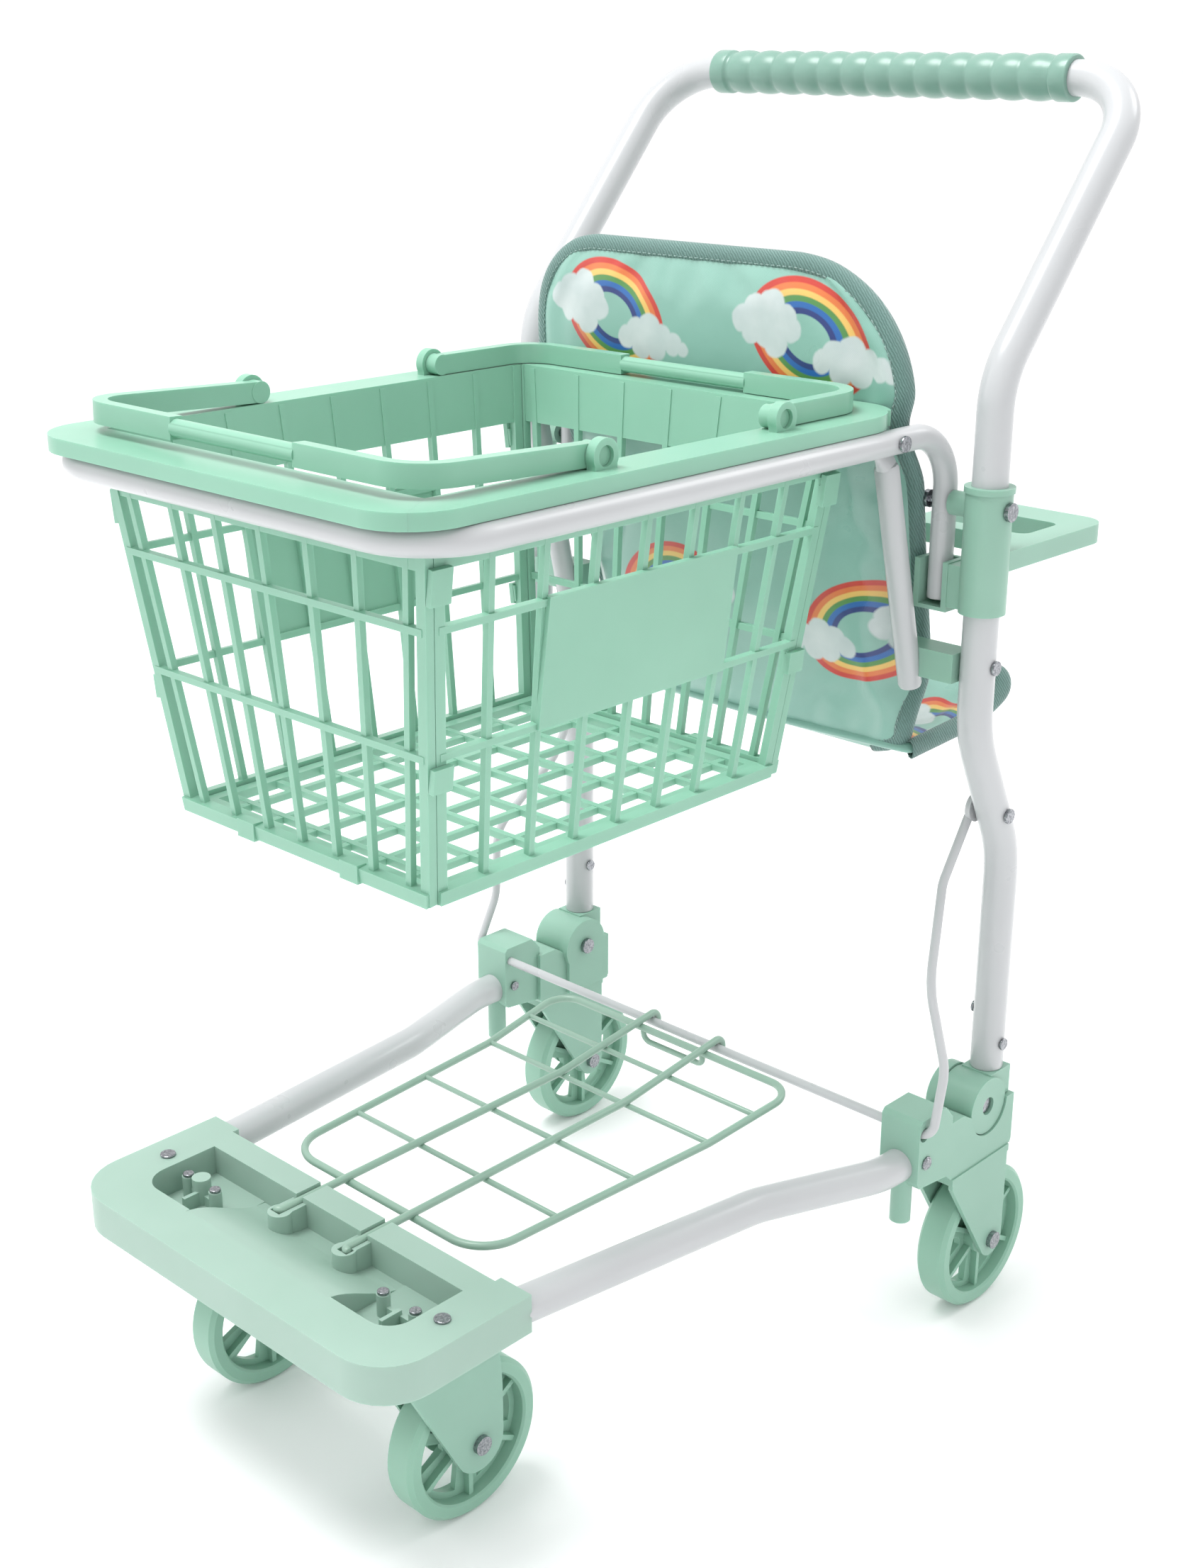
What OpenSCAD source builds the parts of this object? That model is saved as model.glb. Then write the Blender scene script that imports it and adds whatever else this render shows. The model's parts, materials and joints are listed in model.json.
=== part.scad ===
// Toy shopping cart: wire rack chassis, tubular handle frame, lift-out basket and padded doll seat.
// X is across the cart, -Y the front platform, +Y the handle, Z up from the floor.

/* [Wheels] */
// Tread radius of every wheel, mm
wheel_r = 37.5; // [35:0.5:40]
// Width of every wheel, mm
wheel_w = 16; // [14:0.5:17]
// Half track of the front wheels, mm
front_track = 69; // [66:0.5:71]
// Front axle position along the cart, mm
front_axle_y = -148; // [-150:0.5:-146]
// Half track of the rear wheels, mm
rear_track = 139; // [138:0.5:140]
// Rear axle position along the cart, mm
rear_axle_y = 139.5; // [138:0.5:141]
// Axle bolt diameter, mm
axle_d = 5; // [4:0.1:6]

/* [Chassis] */
// Outer diameter of the handle and chassis tube, mm
tube_d = 16; // [15:0.5:16]
// Wall of the handle and chassis tube, mm
tube_wall = 1; // [0.8:0.1:1.5]
// Top of the front platform, mm
platform_top = 122.2; // [121:0.1:123]
// Underside of the front platform, mm
platform_base = 104; // [103.5:0.1:105]
// Wire diameter of the rack, mm
rack_d = 3.8; // [3.5:0.1:4]
// Wire diameter of the brace, mm
brace_d = 4.5; // [4:0.1:5]

/* [Handle frame] */
// Height of the push bar above the floor, mm
bar_z = 589; // [570:1:600]
// Reach of the push bar behind the middle of the cart, mm
bar_y = 213; // [205:0.5:213]
// Half length of the soft grip, mm
grip_half = 104.3; // [90:0.5:105]
// Diameter of the basket frame tube, mm
frame_d = 11; // [10:0.5:11]
// Height of the basket frame tube, mm
frame_z = 445.2; // [443:0.1:445.2]

/* [Basket] */
// Half width of the basket walls at the floor, mm
basket_half_w = 78; // [74:0.5:78]
// Half length of the basket walls at the floor, mm
basket_half_l = 105.2; // [100:0.1:105.2]
// Thickness of the basket walls, mm
wall_t = 4; // [3:0.5:4]
// Width of the upright basket bars, mm
bar_w = 3; // [2.5:0.1:4]
// Half width of the basket handles' arms, mm
arm_x = 100; // [98:0.5:100]

/* [Seat] */
// Half width of the seat back between the handle legs, mm
seat_half_w = 101; // [90:1:101]
// Thickness of the padded seat panels, mm
pad_t = 8; // [6:0.5:8]
// Height of the top edge of the seat back, mm
seat_top = 517; // [500:1:520]

/* [Hidden] */
$fn = 48;
tube_r = tube_d / 2;
frame_r = frame_d / 2;
rack_r = rack_d / 2;
brace_r = brace_d / 2;
axle_r = axle_d / 2;
fit = 0.05;       // radial gap of every running fit
axle_z = wheel_r;
mint = [0.62, 0.87, 0.77];
white = [0.93, 0.94, 0.94];
metal = [0.72, 0.74, 0.76];
cloth = [0.45, 0.75, 0.68];
grip_c = [0.52, 0.80, 0.70];

// Chassis: the fold pivot, the tube runs and the cross wire
pivot_y = 130.5;
pivot_z = 116;
cross_y = 75;
cross_z = 123.2;
eye_y = 131.7;    // where the brace meets the leg
eye_z = 267;
tube_run = [[93.3, -186, 113.85], [116.5, -9, 108.6], [138.6, 58, 104.5], [138.6, 88, 104.5]];
tube_bends = [60, 60];
fork_top = platform_base;
rear_fork_top = 88;
leg_x = 139;
leg_y = 110.4;    // the legs above the S bend
leg_run = [[leg_x, 142, 131], [leg_x, 142, 246], [leg_x, leg_y, 310], [leg_x, leg_y, 470],
           [leg_x, bar_y, bar_z], [-leg_x, bar_y, bar_z], [-leg_x, leg_y, 470],
           [-leg_x, leg_y, 310], [-leg_x, 142, 246], [-leg_x, 142, 131]];
leg_bends = [60, 60, 40, 33, 33, 40, 60, 60];

// Upper frame
hook_x = 115;
hook_y = 112;
hook_end = 369.5;
boss_z = 414;     // bolt through sleeve, leg and basket frame
seat_bolt_y = 70.5;

// Basket, drawn about its own middle
basket_y = -60.5;
floor_z = 294;
rim_z = 457.6;
rim_half_w = 116;
rim_front = 144.5;
rim_rear = 142;
corner_r = 25;
mouth_w = 96;     // half width and half length of the opening inside the rim
mouth_l = 118;
lip_base = 450.9;
spread_x = 20 / 155;     // how fast the walls lean out, across the cart
spread_y = 15.1 / 155;   // and along it
lug_z = 462.5;
lug_front = -99;
lug_rear = 6.8;

// ---------- helpers ----------

function unit(v) = v / norm(v);
function arc(cx, cy, r, a0, a1, n = 8) =
  [for (i = [0:n]) [cx + r * cos(a0 + (a1 - a0) * i / n), cy + r * sin(a0 + (a1 - a0) * i / n)]];
function turn(p, i) = acos(unit(p[i] - p[i - 1]) * unit(p[i + 1] - p[i]));
function setback(p, bends, i) = bends[i - 1] * tan(turn(p, i) / 2);

module both() {
  children();
  mirror([1, 0, 0]) children();
}

module left() {
  mirror([1, 0, 0]) children();
}

// A rod along X, from x0 to x1
module rod_x(x0, x1, y, z, r) {
  translate([x0, y, z]) rotate([0, 90, 0]) cylinder(h = x1 - x0, r = r);
}

// A straight round piece from a to b
module rod(a, b, r) {
  w = unit(b - a);
  side = abs(w[2]) > 0.9 ? [1, 0, 0] : [0, 0, 1];
  u = unit(cross(side, w));
  v = cross(w, u);
  multmatrix([[u[0], v[0], w[0], a[0]], [u[1], v[1], w[1], a[1]], [u[2], v[2], w[2], a[2]],
              [0, 0, 0, 1]])
    cylinder(h = norm(b - a), r = r);
}

// One bend of a round bar at corner p[i]
module bend(p, bends, i, r) {
  u = unit(p[i] - p[i - 1]);
  v = unit(p[i + 1] - p[i]);
  n = unit(cross(u, v));
  w = cross(n, u);
  c = p[i] - u * setback(p, bends, i) + w * bends[i - 1];
  multmatrix([[-w[0], u[0], n[0], c[0]], [-w[1], u[1], n[1], c[1]], [-w[2], u[2], n[2], c[2]],
              [0, 0, 0, 1]])
    rotate_extrude(angle = turn(p, i)) translate([bends[i - 1], 0]) circle(r = r);
}

// A bent round bar through the points p; the straights run a hair thinner and into the bends
module bar(p, bends, r) {
  last = len(p) - 1;
  step = r / 160;
  for (i = [0:last - 1]) {
    u = unit(p[i + 1] - p[i]);
    lap0 = i == 0 ? 0 : min(sqrt(1.2 * step * bends[i - 1]), setback(p, bends, i) * 0.8);
    lap1 = i == last - 1 ? 0 : min(sqrt(1.2 * step * bends[i]), setback(p, bends, i + 1) * 0.8);
    s0 = i == 0 ? 0 : setback(p, bends, i) - lap0;
    s1 = i == last - 1 ? 0 : setback(p, bends, i + 1) - lap1;
    rod(p[i] + u * s0, p[i + 1] - u * s1, r - step);
  }
  for (i = [1:last - 1]) bend(p, bends, i, r);
}

module tube(p, bends, r, bore_r) {
  difference() {
    bar(p, bends, r);
    bar(p, bends, bore_r);
    rod(p[0] - unit(p[1] - p[0]), p[0] + unit(p[1] - p[0]), bore_r - 0.08);
    rod(p[len(p) - 1] - unit(p[len(p) - 1] - p[len(p) - 2]),
        p[len(p) - 1] + unit(p[len(p) - 1] - p[len(p) - 2]), bore_r - 0.08);
  }
}

// Pan-head screw along X, head at the outer end
module screw_x(x_in, x_face, y, z, r, head_r, head_h) {
  rod_x(x_in, x_face + 0.3, y, z, r);
  rod_x(x_face, x_face + head_h * 0.6, y, z, head_r);
  rod_x(x_face + head_h * 0.6 - 0.05, x_face + head_h, y, z, head_r * 0.75);
}

// ---------- wheels ----------

module wheel(x, y) {
  rim_in = 30;
  hub_r = 9;
  rib_t = 2.4;
  spokes = 6;
  translate([x, y, axle_z]) rotate([0, 90, 0]) {
    rotate_extrude() polygon([[rim_in, -wheel_w / 2 + 1], [rim_in + 1, -wheel_w / 2],
      [wheel_r - 2, -wheel_w / 2], [wheel_r, -wheel_w / 2 + 2], [wheel_r, wheel_w / 2 - 2],
      [wheel_r - 2, wheel_w / 2], [rim_in + 1, wheel_w / 2], [rim_in, wheel_w / 2 - 1]]);
    rotate_extrude() polygon([[axle_r + fit, -wheel_w / 2], [hub_r - 1, -wheel_w / 2],
      [hub_r, -wheel_w / 2 + 1], [hub_r, wheel_w / 2 - 1], [hub_r - 1, wheel_w / 2],
      [axle_r + fit, wheel_w / 2]]);
    // web with six windows
    difference() {
      translate([0, 0, -1.5]) cylinder(h = 3, r = rim_in + 1);
      translate([0, 0, -2]) cylinder(h = 4, r = hub_r - 2);
      for (i = [0:spokes - 1]) rotate([0, 0, (i + 0.5) * 360 / spokes])
        translate([0, 0, -2]) linear_extrude(4)
          polygon(concat(arc(0, 0, rim_in - 3, -16, 16, 4), arc(0, 0, hub_r + 4, 9, -9, 2)));
    }
    // one rib along every spoke
    for (i = [0:spokes - 1]) rotate([0, 0, i * 360 / spokes])
      translate([hub_r - 1, -rib_t / 2, -5]) cube([rim_in - hub_r + 2, rib_t, 10]);
  }
}

module axle(x, y, reach) {
  rod_x(x - reach - 3, x + reach + 0.5, y, axle_z, axle_r);
  rod_x(x + reach, x + reach + 2.4, y, axle_z, 4.4);
  rod_x(x - reach - 2.8, x - reach, y, axle_z, 4.2);
}

module front_wheel_right() color(mint) wheel(front_track, front_axle_y);
module front_wheel_left() color(mint) left() wheel(front_track, front_axle_y);
module rear_wheel_right() color(mint) wheel(rear_track, rear_axle_y);
module rear_wheel_left() color(mint) left() wheel(rear_track, rear_axle_y);
module front_axle_right() color(metal) axle(front_track, front_axle_y, 11.8);
module front_axle_left() color(metal) left() axle(front_track, front_axle_y, 11.8);
module rear_axle_right() color(metal) axle(rear_track, rear_axle_y, 11.8);
module rear_axle_left() color(metal) left() axle(rear_track, rear_axle_y, 11.8);

// ---------- forks ----------

// Side outline of a cheek: a leaning front edge runs down to a round end about the axle
module cheek(x0, side, y_axle, r) {
  lean = atan2(side[0][1] - axle_z, side[0][0] - y_axle);
  away = norm([side[0][0] - y_axle, side[0][1] - axle_z]);
  touch = lean + acos(r / away) - 360;
  translate([x0, 0, 0]) rotate([90, 0, 90]) linear_extrude(2.6)
    difference() {
      polygon(concat(side, arc(y_axle, axle_z, r, 0, touch + 360 > 180 ? touch : touch + 360, 12)));
      translate([y_axle, axle_z]) circle(r = axle_r + 0.02);
    }
}

module front_fork() {
  difference() {
    union() {
      for (x = [front_track - 11.8, front_track + 9.2])
        cheek(x, [[-195, 97], [-195, fork_top - 1], [-138, fork_top - 1], [-134.4, 62]],
              front_axle_y, 13.6);
      translate([front_track - 11.8, -196, fork_top - 3.8]) cube([23.6, 60, 3.8]);
    }
    for (x = post_x)
      translate([x, post_y, fork_top - 5]) cylinder(h = 6, r = 1.6);
  }
}

module front_fork_right() color(mint) front_fork();
module front_fork_left() color(mint) left() front_fork();

module rear_fork() {
  for (x = [rear_track - 11.8, rear_track + 9.2])
    cheek(x, [[101, 82], [101, rear_fork_top - 1], [148.5, rear_fork_top - 1], [148.5, 60]],
          rear_axle_y, 9);
  translate([rear_track - 11.8, 100.5, rear_fork_top - 3.8]) cube([23.6, 49, 3.8]);
}

module rear_fork_right() color(mint) rear_fork();
module rear_fork_left() color(mint) left() rear_fork();

// ---------- platform ----------

slot_x = 22;      // long rack wires
rod_z = 120;
hinge_y = -170.7;
tower_r = 5.5;
foot = 3.6;       // sideways end of each long rack wire
post_x = [57.5, 77.5];
post_y = -179.5;

// Height of the deck's middle, from the front lip (0) to the back wall (1)
function sweep(t) = 115 + 7.4 * cos(180 * t);

module platform() color(mint) difference() {
  union() {
    difference() {
      translate([0, 0, platform_base]) linear_extrude(platform_top - platform_base)
        polygon(concat([[107, -142], [89, -142], [89, -145.5], [-89, -145.5], [-89, -142],
          [-107, -142]], arc(-82, -198.5, 25, 180, 270), arc(82, -198.5, 25, 270, 360)));
      // end pockets
      both() translate([0, 0, 108]) linear_extrude(20)
        polygon(concat([[48, -159.5], [48, -200]], arc(72.5, -188, 12, 270, 360),
          [[84.5, -159.5]]));
      // the middle floor sweeps down from the front lip
      translate([-48.02, 0, 0]) rotate([90, 0, 90]) linear_extrude(96.04)
        polygon(concat([for (i = [0:10]) [-205 + 45.5 * i / 10, sweep(i / 10)]],
          [[-159.5, 124], [-205, 124]]));
      // wheel side relief under the deck
      both() translate([50, -222 + 4, platform_base - 1]) cube([34, 15, 2.2]);
    }
    both() {
      for (x = post_x) translate([x, post_y, 107]) cylinder(h = 11.3, r = 3);
      translate([post_x[0], post_y - 1, 107]) cube([post_x[1] - post_x[0], 2, 6]);
      translate([66.5, -190, 107]) cube([2, 11, 8]);
      // open towers for the ends of the rack wires
      translate([slot_x, hinge_y, 107]) cylinder(h = 12.5, r = tower_r);
      translate([slot_x - 4.5, hinge_y, 107]) cube([9, 12, 12.5]);
    }
    // one tall boss on the left
    translate([-69, post_y + 1, 107]) cylinder(h = 13.5, r = 4.3);
  }
  both() {
    translate([slot_x - 2.2, hinge_y - 2.2, rod_z - rack_r - 0.3]) cube([4.4, 42.2, 10]);
    // the wire's end turns sideways here
    translate([slot_x, hinge_y - 2.2, rod_z - rack_r - 0.3]) cube([foot + 0.4, 4.4, 10]);
    bar(tube_run, tube_bends, tube_r + 0.05);
    for (x = post_x) translate([x, post_y, 100]) cylinder(h = 25, r = 1.6);
    translate([93.4, -179.1, 112]) cylinder(h = 20, r = 1.6);
  }
  // hollow underside between stiffening ribs
  for (i = [-2:1]) translate([i * 22 + 1.1, 0, 0]) rotate([90, 0, 90]) linear_extrude(19.8)
    polygon(concat([[-162, 100], [-220, 100], [-220, 119.4]],
      [for (k = [0:9]) [-205 + 45.5 * k / 10, sweep(k / 10) - 2.8]]));
}

module lower_tube() difference() {
  tube(tube_run, tube_bends, tube_r, tube_r - tube_wall);
  translate([93.4, -179.1, 112]) cylinder(h = 20, r = 1.6);
  rod_x(120, 160, 77.4, 107.4, 1.6);
}

module lower_tube_right() color(white) lower_tube();
module lower_tube_left() color(white) left() lower_tube();

module platform_screws() color(metal) both() {
  translate([93.4, -179.1, 114]) cylinder(h = platform_top - 113.8, r = 1.5);
  translate([93.4, -179.1, platform_top]) cylinder(h = 1.2, r = 3.6);
}

module fork_rivets() color(metal) both() for (x = post_x) translate([x, post_y, 0]) {
  translate([0, 0, fork_top - 3.6]) cylinder(h = 118.8 - fork_top + 3.6, r = 1.5);
  translate([0, 0, 118.35]) cylinder(h = 1.4, r = 2.6);
}

// ---------- rear bracket ----------

module rear_bracket() difference() {
  union() {
    // front block on the chassis tube and cross wire
    translate([128, 0, 0]) rotate([90, 0, 90]) linear_extrude(22)
      polygon([[71, 98], [73, 95], [98, 92], [98, 124], [92, 131], [73, 131], [71, 129]]);
    // body over the wheel fork
    translate([125.5, 0, 0]) rotate([90, 0, 90]) linear_extrude(24.5)
      polygon([[96, 92], [100, rear_fork_top], [151, rear_fork_top], [152, 90], [152, 115.6],
        [115, 115.6], [108, 120], [96, 120]]);
    // inner ear beside the knuckle
    rod_x(123, 128.5, pivot_y, pivot_z, 15.5);
    translate([123, 117, rear_fork_top + 2]) cube([5.5, 27, 26]);
    translate([leg_x, 74.5, 74]) cylinder(h = 24, r = 5);
  }
  rod_x(128.5, 155, pivot_y, pivot_z, 15);
  rod_x(120, 130, pivot_y, pivot_z, axle_r + fit);
  rod_x(126, 155, cross_y, cross_z, brace_r + fit);
  rod_x(147, 155, cross_y, cross_z, brace_r + 1.3);
  rod_x(120, 160, 77.4, 107.4, 1.6);
  bar(tube_run, tube_bends, tube_r + 0.05);
  // room for the wheel tread
  translate([leg_x - 9.2, rear_axle_y, axle_z]) rotate([0, 90, 0]) cylinder(h = 18.4, r = 39.5);
}

module rear_bracket_right() color(mint) rear_bracket();
module rear_bracket_left() color(mint) left() rear_bracket();

module bracket_screws() color(metal) both() {
  screw_x(126.5, 150, 77.4, 107.4, 1.5, 3.4, 1.6);
  rod_x(126.4, 128, 77.4, 107.4, 2.6);
}

module pivot_bolts() color(metal) both() {
  rod_x(121.5, 147, pivot_y, pivot_z, axle_r);
  rod_x(145.3, 147.6, pivot_y, pivot_z, 4.2);
  rod_x(120.4, 123, pivot_y, pivot_z, 4.4);
}

// ---------- brace and rack ----------

brace_run = [[0, cross_y, cross_z], [154, cross_y, cross_z], [151, 87, 153], [143.5, 81, 196],
             [128, 110, 234], [128, 128.6, 263.1]];

module brace_wire() color(white) both() {
  rod([-0.5, cross_y, cross_z], [1, cross_y, cross_z], brace_r - 0.01);
  bar(brace_run, [6, 24, 26, 20], brace_r);
  difference() {
    rod_x(128, 130.6, eye_y, eye_z, 7);
    rod_x(127, 132, eye_y, eye_z, 2.4);
  }
}

// The rack lies flat from the platform to rise_y, then climbs to hook over the cross wire
rack_z = 117;
rise_y = 8;
rack_front = [65.5, -131];
rack_bend_x = 74.5;
rack_rear = [79.5, 66];
cross_r = 1.4;
rack_wires_y = [-87, -40, 8, 39];
hook_gap = brace_r + 0.3 + rack_r;
climb = (cross_z + hook_gap - rod_z) / (cross_y - rise_y);
rear_z = rod_z + climb * (rack_rear[1] - rise_y) - 2 * rack_r + 0.4;
function rack_half(y) = y <= rise_y
  ? rack_front[0] + (rack_bend_x - rack_front[0]) * (y - rack_front[1]) / (rise_y - rack_front[1])
  : rack_bend_x + (rack_rear[0] - rack_bend_x) * (y - rise_y) / (rack_rear[1] - rise_y);
function rack_height(y) = y <= rise_y ? rack_z
  : rack_z + (rear_z - rack_z) * (y - rise_y) / (rack_rear[1] - rise_y);

module rack() color(mint) {
  hook_y1 = cross_y + hook_gap;
  drop = 7.5;
  both() {
    // half of the outer frame
    bar([[0, rack_front[1], rack_z], [rack_front[0], rack_front[1], rack_z],
         [rack_bend_x, rise_y, rack_z], [rack_rear[0], rack_rear[1], rear_z],
         [0, rack_rear[1], rear_z]], [20, 40, 13], rack_r);
    rod([-0.5, rack_front[1], rack_z], [0.5, rack_front[1], rack_z], rack_r - 0.02);
    rod([-0.5, rack_rear[1], rear_z], [0.5, rack_rear[1], rear_z], rack_r - 0.02);
    // long wires with a hook over the cross wire
    bar([[slot_x, hinge_y, rod_z], [slot_x, rise_y, rod_z],
         [slot_x, hook_y1, rod_z + climb * (hook_y1 - rise_y)],
         [slot_x, hook_y1, cross_z - 2.5]], [60, hook_gap], rack_r);
    rod_x(slot_x - rack_r, slot_x + foot, hinge_y, rod_z, rack_r + 0.02);
  }
  for (y = rack_wires_y)
    rod_x(-rack_half(y), rack_half(y), y, rack_height(y), cross_r);
  // finger loop
  bar([[-20, rack_rear[1], rear_z - 1], [-20, rack_rear[1] + 1, rear_z - drop],
       [20, rack_rear[1] + 1, rear_z - drop], [20, rack_rear[1], rear_z - 1]], [4, 4], 1.5);
}

// ---------- handle frame ----------

module handle_tube() color(white) difference() {
  tube(leg_run, leg_bends, tube_r, tube_r - tube_wall);
  both() {
    rod_x(120, 160, leg_y, boss_z, 2.1);
    rod_x(120, 160, eye_y, eye_z, 2.1);
    rod_x(120, 160, 111.3, 343, 1.6);
    rod_x(leg_x, 160, 142, 145, 1.6);
    rod_x(120, leg_x, 142, 160, 1.6);
  }
}

module grip() color(grip_c) {
  bumps = 13;
  pitch = (2 * grip_half - 22) / bumps;
  difference() {
    union() {
      translate([-grip_half, bar_y, bar_z]) rotate([0, 90, 0]) rotate_extrude()
        polygon(concat([[tube_r + 0.03, 0], [10, 0], [10.5, 0.6], [10.5, 8], [9.3, 9.5]],
          [for (i = [0:bumps - 1], j = [0:5]) [9.3 + 1.15 * sin(180 * j / 6) * (j > 0 ? 1 : 0),
            11 + pitch * (i + j / 6)]],
          [[9.3, 2 * grip_half - 9.5], [10.5, 2 * grip_half - 8], [10.5, 2 * grip_half - 0.6],
           [10, 2 * grip_half], [tube_r + 0.03, 2 * grip_half]]));
    }
  }
}

module sleeve() difference() {
  union() {
    translate([leg_x, leg_y, 367.3]) cylinder(h = 56.7, r = 10.5);
    translate([leg_x, leg_y, 421.4]) cylinder(h = 2.6, r = 11.2);
    rod_x(hook_x + frame_r + 0.2, leg_x - 9, leg_y, boss_z, 5.5);
    // clip for the end of the basket frame
    translate([106.2, 104.5, 365.5]) cube([17.6, 15.5, 22.5]);
    translate([122.5, 104.9, 368]) cube([9, 11, 19.5]);
    // flat loop behind the leg
    translate([0, 0, 385.4]) linear_extrude(9) difference() {
      polygon(concat([[131, 116], [145.9, 116]], arc(133, 190.3, 13, 0, 90),
        arc(87, 190.3, 13, 90, 180), arc(84, 150.5, 10, 180, 270), [[128, 140.5], [131, 137]]));
      polygon(concat(arc(127.8, 176.3, 5, 0, 90, 4), arc(91, 176.3, 5, 90, 180, 4),
        arc(91, 156.8, 5, 180, 270, 4), arc(127.8, 156.8, 5, 270, 360, 4)));
    }
  }
  translate([leg_x, leg_y, 360]) cylinder(h = 70, r = tube_r + 0.05);
  translate([108.9, 103, 367.3]) cube([12.2, 14.8, 30]);
  rod_x(112, 160, leg_y, boss_z, 2.1);
}

module sleeve_right() color(mint) sleeve();
module sleeve_left() color(mint) left() sleeve();

module knuckle() difference() {
  union() {
    rod_x(129, 149, pivot_y, pivot_z, 14.5);
    translate([130.5, 133.5, pivot_z]) cube([17, 17, 15]);
    translate([leg_x, 142, 126]) cylinder(h = 49, r = 6.9);
  }
  rod_x(120, 155, pivot_y, pivot_z, axle_r + fit);
  rod_x(145, 155, pivot_y, pivot_z, 4.6);
  rod_x(leg_x - 2.1, 160, 142, 145, 1.6);
  rod_x(120, leg_x - 1.9, 142, 160, 1.6);
}

module knuckle_right() color(mint) knuckle();
module knuckle_left() color(mint) left() knuckle();

module knuckle_screws() color(metal) both() {
  rod_x(leg_x - 2, 147.5, 142, 145, 1.5);
  rod_x(147.05, 148.5, 142, 145, 3);
  rod_x(130.5, leg_x - 2, 142, 160, 1.5);
  rod_x(129.5, 130.95, 142, 160, 3);
}

// Bolt through sleeve, leg and basket frame, with a nut inside
module sleeve_bolts() color(metal) both() {
  rod_x(106.5, 150, leg_y, boss_z, 2);
  rod_x(149.55, 151.5, leg_y, boss_z, 4.2);
  rod_x(106.6, 109, leg_y, boss_z, 4);
}

module brace_bolts() color(metal) both() {
  rod_x(131.2, 147.5, eye_y, eye_z, 2);
  rod_x(147.05, 148.8, eye_y, eye_z, 3.6);
}

// ---------- basket frame and seat ----------

module basket_frame() color(white) difference() {
  both() {
    bar([[0, -195.7, frame_z], [hook_x, -195.7, frame_z], [hook_x, hook_y, frame_z],
         [hook_x, hook_y, hook_end]], [30, 26], frame_r);
    rod([-0.5, -195.7, frame_z], [0.5, -195.7, frame_z], frame_r - 0.02);
  }
  both() {
    rod_x(100, 130, leg_y, boss_z, 2.1);
    rod_x(100, 130, seat_bolt_y, frame_z, 1.6);
  }
}

seat_tube_top = [107, 77.6, 434];
seat_tube_end = [108.5, 103, 328];

module seat_tube() {
  difference() {
    union() {
      rod(seat_tube_top, seat_tube_end, frame_r);
      translate([105.7, 63.5, 428]) cube([3.2, 17, 22.5]);
    }
    rod_x(100, 112, seat_bolt_y, frame_z, 1.6);
  }
}

module seat_tube_right() color(white) seat_tube();
module seat_tube_left() color(white) left() seat_tube();

module seat_clip() difference() {
  translate([102, 101, 334.5]) cube([29.5, 15, 13.5]);
  rod(seat_tube_top, seat_tube_end, frame_r + 0.05);
  translate([leg_x, leg_y, 310]) cylinder(h = 50, r = tube_r + 0.05);
  rod_x(114, 140, 111.3, 343, 1.6);
}

module seat_clip_right() color(mint) seat_clip();
module seat_clip_left() color(mint) left() seat_clip();

module seat_screws() color(metal) both() {
  rod_x(115.5, 147.5, 111.3, 343, 1.5);
  rod_x(147.05, 148.7, 111.3, 343, 3.4);
}

module frame_bolts() color(metal) both() {
  rod_x(104, 121.4, seat_bolt_y, frame_z, 1.5);
  rod_x(120.6, 122.4, seat_bolt_y, frame_z, 3.6);
  rod_x(103.6, 105.65, seat_bolt_y, frame_z, 3);
}

module seat_back() color(cloth) intersection() {
  translate([-120, 0, 0]) rotate([90, 0, 90]) linear_extrude(240)
    polygon([[85.6, 520], [85.6, 428], [109.8, 328], [116, 287], [116 + pad_t, 287],
      [109.8 + pad_t, 330], [85.6 + pad_t, 429], [85.6 + pad_t, 520]]);
  translate([0, 160, 0]) rotate([90, 0, 0]) linear_extrude(100)
    polygon(concat([[-seat_half_w, 280], [seat_half_w, 280], [seat_half_w, 433],
      [107.6, 434], [107.6, 451], [112, 452]], arc(67, seat_top - 45, 45, 0, 90),
      arc(-67, seat_top - 45, 45, 90, 180), [[-112, 452], [-107.6, 451], [-107.6, 434],
      [-seat_half_w, 433]]));
}

module seat_base() color(cloth) intersection() {
  translate([-120, 0, 0]) rotate([90, 0, 90]) linear_extrude(240)
    polygon([[124.1, 288], [124.1, 296], [203, 309], [203, 301]]);
  translate([0, 0, 250]) linear_extrude(100)
    polygon(concat([[-103, 120], [103, 120]], arc(75, 175, 28, 0, 90), arc(-75, 175, 28, 90, 180)));
}

// ---------- basket ----------

function up(z, lean) = (z - floor_z) * sqrt(1 + lean * lean);
function edge_at(half, lean, z) = half + lean * (z - floor_z);
function bar_at(i, pitch, growth, z) = i * pitch * (1 + growth * (z - floor_z));

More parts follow.
